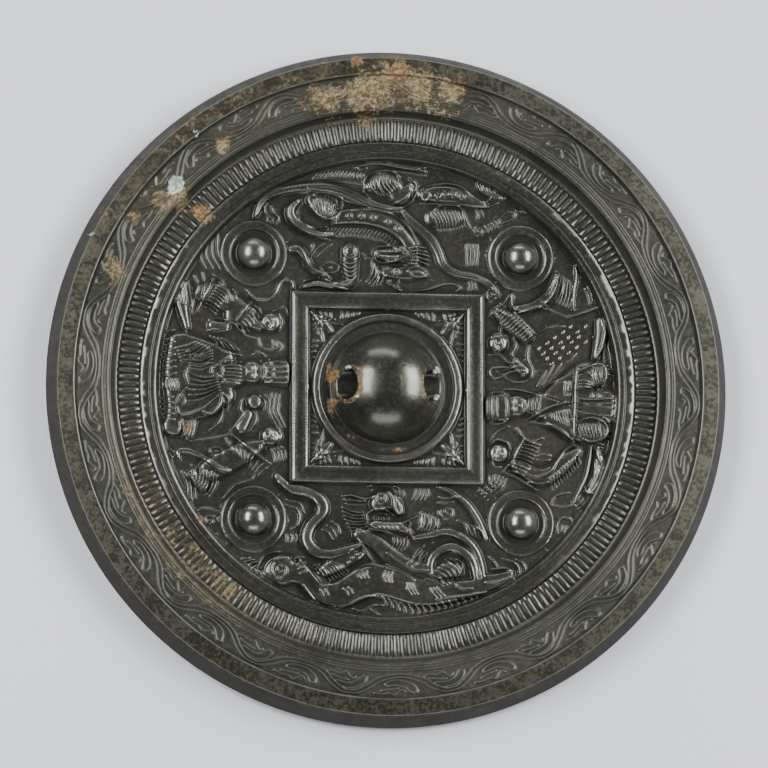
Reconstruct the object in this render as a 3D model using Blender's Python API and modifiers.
"""Cast bronze mirror of the gods and beasts kind, lying on its polished face.

One casting: a gently domed reflecting face below, and above it the decorated
back with a pierced knob, a square frame, four bosses, figures in low relief,
a ring of comb teeth, a sloped step and a raised rim with a cloud scroll.
Metres, +Z up. The origin is the middle of the face, where the mirror rests.
"""
import math

import bmesh
import bpy
from mathutils import Matrix, Vector

# Disc and rim
DISC_RADIUS = 0.105          # sharp edge of the polished face
WALL_FLARE = 0.003           # how far the outer wall leans outwards below
FACE_SAG = 0.0024            # rise of the face's edge over its middle
FACE_FLAT_RADIUS = 0.024     # worn flat in the middle of the face
RIM_HEIGHT = 0.0095          # arris between the wall and the plain band
RIDGE_RISE = 0.0010          # ridge at the plain band's inner side
RIM_BAND_WIDTH = 0.0050
RIDGE_BEVEL = 0.0006
SCROLL_BAND_WIDTH = 0.0072
SCROLL_BAND_DEPTH = 0.0012   # floor of the scroll band below the ridge
RING_LINE_WIDTH = 0.0037     # raised border between the scroll band and the slope
RING_LINE_RISE = 0.0004
RING_LINE_BEVEL = 0.0007
SLOPE_RUN = 0.0022
COMB_WIDTH = 0.0071
COMB_LEVEL = 0.0050
PLATEAU_WIDTH = 0.0034
PLATEAU_RISE = 0.0008
FIELD_SLOPE_RUN = 0.0026
FIELD_LEVEL = 0.0034
DISC_STEPS = 72
FACE_RINGS = 3

# Comb teeth
TOOTH_COUNT = 248
TOOTH_HEIGHT = 0.0006

# Scroll on the rim
SCROLL_PERIODS = 19
SCROLL_POINTS = 6            # per period
SCROLL_EDGE_GAP = 0.0014
SCROLL_THREAD = 0.0011       # half width
SCROLL_RISE = 0.0006

# Knob, its seat and the square frame
KNOB_RADIUS = 0.0175
KNOB_HEIGHT = 0.0140
KNOB_STEPS = 32
KNOB_RINGS = 7
CORD_HOLE_WIDTH = 0.0095
CORD_HOLE_HEIGHT = 0.0064
CORD_HOLE_ROOF = 0.0032      # metal over the hole at the knob's top
CORD_HOLE_SIDES = 16
SEAT_GAP = 0.0031            # from the knob to the raised seat ring
SEAT_WIDTH = 0.0026
SEAT_RISE = 0.0014
SEAT_BEVEL = 0.0006
SEAT_FLOOR_RISE = 0.0006
SQUARE_GAP = 0.00115         # from the seat to the frame's inner edge
SQUARE_WIDTH = 0.00525
SQUARE_RISE = 0.0013
SQUARE_LIP_WIDTH = 0.0007
SQUARE_LIP_RISE = 0.0004

# Bosses
BOSS_COUNT = 4
BOSS_RADIUS = 0.0056
BOSS_HEIGHT = 0.0046
BOSS_RING_GAP = 0.0020
BOSS_RING_WIDTH = 0.0026
BOSS_RING_RISE = 0.0012
BOSS_RING_BEVEL = 0.0009
BOSS_FLOOR_RISE = 0.0005
BOSS_WALL_GAP = 0.0017       # from the boss's ring to the field's wall
BOSS_STEPS = 20
BOSS_RINGS = 4

# Figures, laid out on a grid that has this many steps from the middle to the field's wall
GRID_STEPS = 70.0
BODY_HEIGHT = 0.0024
LIMB_HEIGHT = 0.0017
HEAD_HEIGHT = 0.0030
HAUNCH_HEIGHT = 0.0027
MOUND_STEPS = 10
MOUND_RINGS = 6
ROOT_DEPTH = 0.0009          # how deep every raised form is rooted in the plate
WAIST_DEPTH = 0.0002         # its widest line lies this far under the ground
RING_REACH = 0.0001          # points nearer than this in radius lie on one ring

arris_radius = DISC_RADIUS - WALL_FLARE
ridge_radius = arris_radius - RIM_BAND_WIDTH
ridge_level = RIM_HEIGHT + RIDGE_RISE
scroll_outer = ridge_radius - RIDGE_BEVEL
scroll_inner = scroll_outer - SCROLL_BAND_WIDTH
scroll_level = ridge_level - SCROLL_BAND_DEPTH
slope_top = scroll_inner - RING_LINE_WIDTH
slope_foot = slope_top - SLOPE_RUN
comb_inner = slope_foot - COMB_WIDTH
plateau_level = COMB_LEVEL + PLATEAU_RISE
plateau_inner = comb_inner - PLATEAU_WIDTH
field_radius = plateau_inner - FIELD_SLOPE_RUN
grid = field_radius / GRID_STEPS
seat_inner = KNOB_RADIUS + SEAT_GAP
seat_outer = seat_inner + SEAT_WIDTH
square_inner = seat_outer + SQUARE_GAP
square_outer = square_inner + SQUARE_WIDTH
boss_ring_outer = BOSS_RADIUS + BOSS_RING_GAP + BOSS_RING_WIDTH
boss_place = field_radius - BOSS_WALL_GAP - boss_ring_outer
cord_hole_level = FIELD_LEVEL + KNOB_HEIGHT - CORD_HOLE_ROOF - CORD_HOLE_HEIGHT / 2


def clear_scene():
    for obj in list(bpy.data.objects):
        bpy.data.objects.remove(obj, do_unlink=True)


def new_collection(name, hidden=False):
    collection = bpy.data.collections.new(name)
    bpy.context.scene.collection.children.link(collection)
    collection.hide_render = hidden
    return collection


def bronze_material():
    material = bpy.data.materials.new("patinated_bronze")
    material.use_nodes = True
    shader = material.node_tree.nodes["Principled BSDF"]
    shader.inputs["Base Color"].default_value = (0.075, 0.070, 0.052, 1.0)
    shader.inputs["Metallic"].default_value = 0.7
    shader.inputs["Roughness"].default_value = 0.38
    return material


def add_object(name, mesh, collection):
    obj = bpy.data.objects.new(name, mesh)
    collection.objects.link(obj)
    return obj


def bake(obj):
    """Give the object its evaluated mesh and drop its modifiers."""
    bpy.context.view_layer.update()
    depsgraph = bpy.context.evaluated_depsgraph_get()
    mesh = bpy.data.meshes.new_from_object(obj.evaluated_get(depsgraph))
    obj.modifiers.clear()
    obj.data = mesh
    return obj


def write_flat(body, mesh):
    """Write the body to the mesh as triangles, so that every face is flat."""
    bmesh.ops.recalc_face_normals(body, faces=body.faces)
    bmesh.ops.triangulate(body, faces=body.faces)
    body.to_mesh(mesh)
    body.free()


def turned(name, profile, steps, collection):
    """Turn a profile, listed from the top down its outer side, about the Z axis."""
    mesh = bpy.data.meshes.new(name)
    points = [(radius, 0.0, height) for radius, height in profile]
    mesh.from_pydata(points, [(i, i + 1) for i in range(len(points) - 1)], [])
    obj = add_object(name, mesh, collection)
    screw = obj.modifiers.new("turn", "SCREW")
    screw.axis = "Z"
    screw.steps = steps
    screw.render_steps = steps
    screw.use_merge_vertices = True
    screw.merge_threshold = 0.00001
    screw.use_smooth_shade = False
    return obj


def dome(base_radius, height, base_level, rings):
    """Profile of a round cap from its top down to its base."""
    ball = (base_radius ** 2 + height ** 2) / (2 * height)
    centre = base_level + height - ball
    reach = math.acos((ball - height) / ball)
    turns = [reach * i / rings for i in range(rings + 1)]
    return [(ball * math.sin(turn), centre + ball * math.cos(turn)) for turn in turns]


def inner_profile():
    """From the middle of the field to the inner edge of the comb band."""
    return [
        (0.0, FIELD_LEVEL),
        (field_radius, FIELD_LEVEL),
        (plateau_inner, plateau_level),
        (comb_inner, plateau_level),
    ]


def outer_profile():
    """From the top of the slope, over the rim and the wall, to the middle of the face."""
    line_level = scroll_level + RING_LINE_RISE
    profile = [
        (slope_top, scroll_level),
        (slope_top + RING_LINE_BEVEL, line_level),
        (scroll_inner - RING_LINE_BEVEL, line_level),
        (scroll_inner, scroll_level),
        (scroll_outer, scroll_level),
        (ridge_radius, ridge_level),
        (arris_radius, RIM_HEIGHT),
    ]
    for i in range(FACE_RINGS + 1):
        radius = DISC_RADIUS + (FACE_FLAT_RADIUS - DISC_RADIUS) * i / FACE_RINGS
        profile.append((radius, face_level(radius)))
    profile.append((0.0, 0.0))
    return profile


def face_level(radius):
    """Height of the domed face: flat in the middle, then rising to its edge."""
    out = max(radius - FACE_FLAT_RADIUS, 0.0) / (DISC_RADIUS - FACE_FLAT_RADIUS)
    return FACE_SAG * out * (0.5 + 0.5 * out)


def add_turned(body, profile, steps, collection):
    """Turn the profile into the body and return the new vertices."""
    piece = bake(turned("turned", profile, steps, collection))
    before = len(body.verts)
    body.from_mesh(piece.data)
    bpy.data.objects.remove(piece, do_unlink=True)
    body.verts.ensure_lookup_table()
    return body.verts[before:]


def open_ring(verts, radius):
    """The vertices of the open edge at one radius, in turning order."""
    ring = [vert for vert in verts if vert.is_boundary
            and abs(math.hypot(vert.co.x, vert.co.y) - radius) < RING_REACH]
    ring.sort(key=lambda vert: math.atan2(vert.co.y, vert.co.x))
    return ring


def zip_rings(body, first, second):
    """Fill the strip between two rings of unlike counts with one triangle a step."""
    def angle(ring, i):
        place = ring[i % len(ring)].co
        return math.atan2(place.y, place.x) + 2 * math.pi * (i // len(ring))

    i = j = 0
    while i < len(first) or j < len(second):
        step_first = j >= len(second) or (
            i < len(first) and angle(first, i + 1) <= angle(second, j + 1))
        corner = first[i % len(first)]
        other = second[j % len(second)]
        if step_first:
            i += 1
            third = first[i % len(first)]
        else:
            j += 1
            third = second[j % len(second)]
        body.faces.new((corner, other, third))


def plate(collection):
    """The disc: two turned surfaces with the ring of comb teeth lofted in between."""
    body = bmesh.new()
    inner = add_turned(body, inner_profile(), DISC_STEPS, collection)
    plateau_edge = open_ring(inner, comb_inner)
    comb_profile = [(comb_inner, COMB_LEVEL), (slope_foot, COMB_LEVEL)]
    comb = add_turned(body, comb_profile, 2 * TOOTH_COUNT, collection)
    step = math.pi / TOOTH_COUNT
    for vert in comb:
        if round(math.atan2(vert.co.y, vert.co.x) / step) % 2:
            vert.co.z += TOOTH_HEIGHT
    comb_edges = open_ring(comb, comb_inner), open_ring(comb, slope_foot)
    outer = add_turned(body, outer_profile(), DISC_STEPS, collection)
    zip_rings(body, plateau_edge, comb_edges[0])
    zip_rings(body, comb_edges[1], open_ring(outer, slope_top))
    mesh = bpy.data.meshes.new("cast_mirror")
    write_flat(body, mesh)
    return add_object("cast_mirror", mesh, collection)


def tube(name, points, widths, height, level, collection, closed=False, sides=1):
    """A flattened tube along a path: widths are half widths, height is its rise over level."""
    curve = bpy.data.curves.new(name, "CURVE")
    curve.dimensions = "3D"
    curve.bevel_depth = 1.0
    curve.bevel_resolution = sides
    curve.use_fill_caps = not closed
    spline = curve.splines.new("POLY")
    spline.points.add(len(points) - 1)
    for point, place, width in zip(spline.points, points, widths):
        point.co = (place[0], place[1], 0.0, 1.0)
        point.radius = width
    spline.use_cyclic_u = closed
    guide = add_object(name + "_guide", curve, collection)
    bpy.context.view_layer.update()
    depsgraph = bpy.context.evaluated_depsgraph_get()
    mesh = bpy.data.meshes.new_from_object(guide.evaluated_get(depsgraph))
    bpy.data.objects.remove(guide, do_unlink=True)
    body = bmesh.new()
    body.from_mesh(mesh)
    bmesh.ops.remove_doubles(body, verts=body.verts, dist=0.00001)
    rise = max(widths)
    for vert in body.verts:
        share = vert.co.z / rise
        rooted = height + WAIST_DEPTH if share > 0 else ROOT_DEPTH
        vert.co.z = level - WAIST_DEPTH + share * rooted
    write_flat(body, mesh)
    return add_object(name, mesh, collection)


def scroll_thread(collection):
    """The wave that runs round the rim between the two borders."""
    middle = (scroll_inner + scroll_outer) / 2
    swing = (scroll_outer - scroll_inner) / 2 - SCROLL_EDGE_GAP
    total = SCROLL_PERIODS * SCROLL_POINTS
    points = []
    for i in range(total):
        angle = 2 * math.pi * i / total
        reach = middle + swing * math.sin(angle * SCROLL_PERIODS)
        points.append((reach * math.cos(angle), reach * math.sin(angle)))
    widths = [SCROLL_THREAD] * total
    return tube("scroll_thread", points, widths, SCROLL_RISE, scroll_level, collection,
                closed=True, sides=0)


def smooth_path(path):
    """Add the middle of each stretch of the path, bowed as a smooth curve through its neighbours."""
    last = len(path) - 1
    smooth = [path[0]]
    for i in range(last):
        before = path[max(i - 1, 0)]
        start = path[i]
        end = path[i + 1]
        after = path[min(i + 2, last)]
        smooth.append(tuple(
            (9 * (q + r) - p - s) / 16 for p, q, r, s in zip(before, start, end, after)))
        smooth.append(end)
    return smooth


def stroke(name, path, height, collection):
    """A raised limb or body: every entry of path is x, y and half width in grid steps."""
    if len(path) > 3:
        path = smooth_path(path)
    points = [(x * grid, y * grid) for x, y, width in path]
    widths = [width * grid for x, y, width in path]
    return tube(name, points, widths, height, FIELD_LEVEL, collection)


def mound(name, x, y, half_x, half_y, height, collection):
    """A raised oval, such as a head, half sunk in the field."""
    mesh = bpy.data.meshes.new(name)
    body = bmesh.new()
    bmesh.ops.create_uvsphere(body, u_segments=MOUND_STEPS, v_segments=MOUND_RINGS, radius=1.0)
    for vert in body.verts:
        rise = height + WAIST_DEPTH if vert.co.z > 0 else ROOT_DEPTH
        vert.co = Vector((
            (x + vert.co.x * half_x) * grid,
            (y + vert.co.y * half_y) * grid,
            FIELD_LEVEL - WAIST_DEPTH + vert.co.z * rise,
        ))
    write_flat(body, mesh)
    return add_object(name, mesh, collection)


def knob_parts(relief, cutters):
    """The knob and its ring seat, turned as one, and the tool for the cord's hole."""
    seat_floor = FIELD_LEVEL + SEAT_FLOOR_RISE
    profile = dome(KNOB_RADIUS, KNOB_HEIGHT - SEAT_FLOOR_RISE, seat_floor, KNOB_RINGS)
    profile += [
        (seat_inner, seat_floor),
        (seat_inner + SEAT_BEVEL, FIELD_LEVEL + SEAT_RISE),
        (seat_outer - SEAT_BEVEL, FIELD_LEVEL + SEAT_RISE),
        (seat_outer, FIELD_LEVEL - ROOT_DEPTH),
        (0.0, FIELD_LEVEL - ROOT_DEPTH),
    ]
    turned("knob", profile, KNOB_STEPS, relief)
    mesh = bpy.data.meshes.new("cord_hole")
    body = bmesh.new()
    bmesh.ops.create_cone(body, cap_ends=True, segments=CORD_HOLE_SIDES, radius1=1.0,
                          radius2=1.0, depth=4 * KNOB_RADIUS)
    bmesh.ops.rotate(body, verts=body.verts, matrix=Matrix.Rotation(math.pi / 2, 3, "Y"))
    for vert in body.verts:
        vert.co.y *= CORD_HOLE_WIDTH / 2
        vert.co.z = cord_hole_level + vert.co.z * CORD_HOLE_HEIGHT / 2
    write_flat(body, mesh)
    return add_object("cord_hole", mesh, cutters)


def square_frame(relief):
    """A square ring, turned in four steps, with a raised lip at both edges."""
    level = FIELD_LEVEL + SQUARE_RISE
    lip = level + SQUARE_LIP_RISE
    profile = [
        (square_inner, FIELD_LEVEL - ROOT_DEPTH),
        (square_inner, level),
        (square_inner + SQUARE_LIP_WIDTH * 0.5, lip),
        (square_inner + SQUARE_LIP_WIDTH, level),
        (square_outer - SQUARE_LIP_WIDTH, level),
        (square_outer - SQUARE_LIP_WIDTH * 0.5, lip),
        (square_outer, level),
        (square_outer, FIELD_LEVEL - ROOT_DEPTH),
        (square_inner, FIELD_LEVEL - ROOT_DEPTH),
    ]
    profile = [(radius * math.sqrt(2), height) for radius, height in profile]
    frame = turned("square_frame", profile, 4, relief)
    frame.rotation_euler.z = math.pi / 4


def bosses(relief):
    ring_inner = BOSS_RADIUS + BOSS_RING_GAP
    floor = FIELD_LEVEL + BOSS_FLOOR_RISE
    profile = dome(BOSS_RADIUS, BOSS_HEIGHT - BOSS_FLOOR_RISE, floor, BOSS_RINGS)
    profile += [
        (ring_inner, floor),
        (ring_inner + BOSS_RING_BEVEL, FIELD_LEVEL + BOSS_RING_RISE),
        (boss_ring_outer, FIELD_LEVEL - ROOT_DEPTH),
        (0.0, FIELD_LEVEL - ROOT_DEPTH),
    ]
    for i in range(BOSS_COUNT):
        turn = 2 * math.pi * (i + 0.5) / BOSS_COUNT
        boss = turned("boss_%d" % (i + 1), profile, BOSS_STEPS, relief)
        boss.location = (boss_place * math.cos(turn), boss_place * math.sin(turn), 0.0)


def strokes(name, paths, height, collection):
    for i, path in enumerate(paths):
        stroke("%s_%d" % (name, i + 1), path, height, collection)


def tiger(relief):
    """The winged tiger over the square, and the lesser beast that runs before it."""
    body = [(-28, 53, 4.0), (-21, 56.5, 4.8), (-12, 55.5, 4.4), (-3, 53.5, 4.2), (5, 49, 4.4)]
    stroke("tiger_body", body, BODY_HEIGHT, relief)
    mound("tiger_haunch", -28.5, 54, 5.2, 5.6, HAUNCH_HEIGHT, relief)
    mound("tiger_head", 5.5, 43, 5.5, 5.2, HEAD_HEIGHT, relief)
    jaws = [
        [(3, 45, 2.4), (-2, 45.2, 2.0), (-5.5, 43.5, 1.4)],
        [(3, 39.5, 2.2), (-4.5, 38.5, 1.5)],
    ]
    strokes("tiger_jaw", jaws, BODY_HEIGHT, relief)
    tails = [
        [(-41, 53, 0.9), (-38, 59, 1.3), (-31, 62, 1.5), (-16, 62.5, 1.5), (-5, 58.5, 1.2)],
        [(9, 53, 1.2), (16, 45, 1.5), (19, 38.5, 1.5), (27, 35.5, 1.5), (33, 33, 1.1)],
    ]
    strokes("tiger_tail", tails, LIMB_HEIGHT, relief)
    legs = [
        [(-10, 48, 2.4), (-11.5, 40, 2.0), (-14, 34, 1.8), (-26, 33, 1.4)],
        [(-29, 49, 2.6), (-26, 41, 2.0), (-20, 36.5, 1.4)],
        [(10, 39, 2.2), (11, 34.5, 1.8), (3, 32, 1.3)],
    ]
    strokes("tiger_leg", legs, LIMB_HEIGHT, relief)
    mound("tiger_wing", 4.5, 60.5, 4.4, 4.4, LIMB_HEIGHT, relief)
    beast = [(9, 62.5, 1.8), (17, 61, 3.0), (25, 58.5, 2.8), (32, 55, 2.0), (37, 55, 1.2)]
    stroke("beast_body", beast, BODY_HEIGHT, relief)


def dragon(relief):
    """The dragon under the square, with its head towards the middle."""
    body = [(-34, -56, 3.0), (-27, -57, 3.4), (-20, -63.5, 3.8), (-10, -62, 4.6), (1, -60, 4.8),
            (12, -63.5, 4.4), (24, -62, 3.0), (38, -58.5, 1.8)]
    stroke("dragon_body", body, BODY_HEIGHT, relief)
    mound("dragon_haunch", -32.5, -57, 5.2, 4.6, HAUNCH_HEIGHT, relief)
    mound("dragon_head", -4, -38, 5.0, 6.0, HEAD_HEIGHT, relief)
    jaws = [
        [(-3, -37, 2.6), (1, -36.5, 2.3), (4, -37.5, 1.6)],
        [(-5, -43.5, 1.8), (1, -44.3, 1.8), (6, -45.5, 1.4)],
    ]
    strokes("dragon_jaw", jaws, BODY_HEIGHT, relief)
    stroke("dragon_neck", [(-2, -45, 3.0), (1, -51, 3.2), (7, -58, 3.2)], LIMB_HEIGHT, relief)
    limbs = [
        [(-34, -29, 1.6), (-22, -33.5, 2.0), (-20.5, -38.5, 2.0), (-24.5, -46, 1.9),
         (-21.5, -51.5, 1.9), (-9, -49, 1.4)],
        [(13.5, -57, 1.5), (14.5, -51.5, 1.5), (20, -48.8, 1.5), (25, -52, 1.5), (28, -58, 1.3)],
        [(8, -48, 1.2), (19, -44.5, 1.4), (26, -48.5, 1.4), (29.5, -57, 1.1)],
        [(17, -30.5, 0.9), (25, -36, 1.2), (30, -46, 1.0)],
        [(-21, -60, 1.0), (-17, -54.5, 2.8), (-9, -51, 1.2)],
    ]
    strokes("dragon_limb", limbs, LIMB_HEIGHT, relief)


def deity(side, lean, relief):
    """A seated deity with its head towards the knob, and an attendant on each hand.

    side is the sign of the figure's x, and lean shifts it along y.
    """
    name = "deity_east" if side > 0 else "deity_west"

    def put(path, hand=1, shift=lean):
        return [(side * x, hand * y + shift, width) for x, y, width in path]

    mound(name + "_head", side * 41.5, lean, 3.8, 3.4, HEAD_HEIGHT, relief)
    stroke(name + "_crown", put([(31.5, 0, 4.2), (36.5, 0, 3.4)]), LIMB_HEIGHT, relief)
    stroke(name + "_robe", put([(45, 0, 3.6), (52, 0, 6.0), (59, 0, 8.5)]), BODY_HEIGHT, relief)
    stroke(name + "_lap", put([(64, -12, 3.4), (64.5, 0, 4.6), (64, 12, 3.4)]), BODY_HEIGHT, relief)
    for hand, label in ((-1, "_left"), (1, "_right")):
        shift = -lean * 0.2
        mound(name + label + "_head", side * 35.5, hand * 17.5 + shift, 3.2, 2.9, HEAD_HEIGHT, relief)
        robe = [(39, 18, 1.8), (46, 21, 3.6), (53, 24, 4.2)]
        stroke(name + label + "_robe", put(robe, hand, shift), BODY_HEIGHT, relief)
        wings = [
            put([(61.5, 20, 2.4), (60, 28, 2.2), (56, 36, 1.3)], hand, 0.0),
            put([(37, 27, 1.4), (44, 28.5, 1.8), (50, 31, 1.3)], hand, shift),
        ]
        strokes(name + label + "_wing", wings, LIMB_HEIGHT, relief)


def unite(disc, collection):
    """Join every form of the collection to the disc."""
    union = disc.modifiers.new("raised_forms", "BOOLEAN")
    union.operation = "UNION"
    union.solver = "EXACT"
    union.operand_type = "COLLECTION"
    union.collection = collection
    union.use_self = True


def mirror(parts, cutters):
    relief = new_collection("raised_forms", hidden=True)
    disc = plate(parts)
    disc.data.materials.append(bronze_material())
    scroll_thread(relief)
    hole = knob_parts(relief, cutters)
    square_frame(relief)
    bosses(relief)
    tiger(relief)
    dragon(relief)
    deity(-1, 4.0, relief)
    deity(1, -4.5, relief)
    for obj in list(relief.objects) + [hole]:
        obj.hide_render = True
        obj.display_type = "WIRE"
    unite(disc, relief)
    cut = disc.modifiers.new("cord_hole", "BOOLEAN")
    cut.operation = "DIFFERENCE"
    cut.solver = "EXACT"
    cut.object = hole


def main():
    clear_scene()
    parts = new_collection("bronze_mirror")
    cutters = new_collection("cutters", hidden=True)
    mirror(parts, cutters)


main()
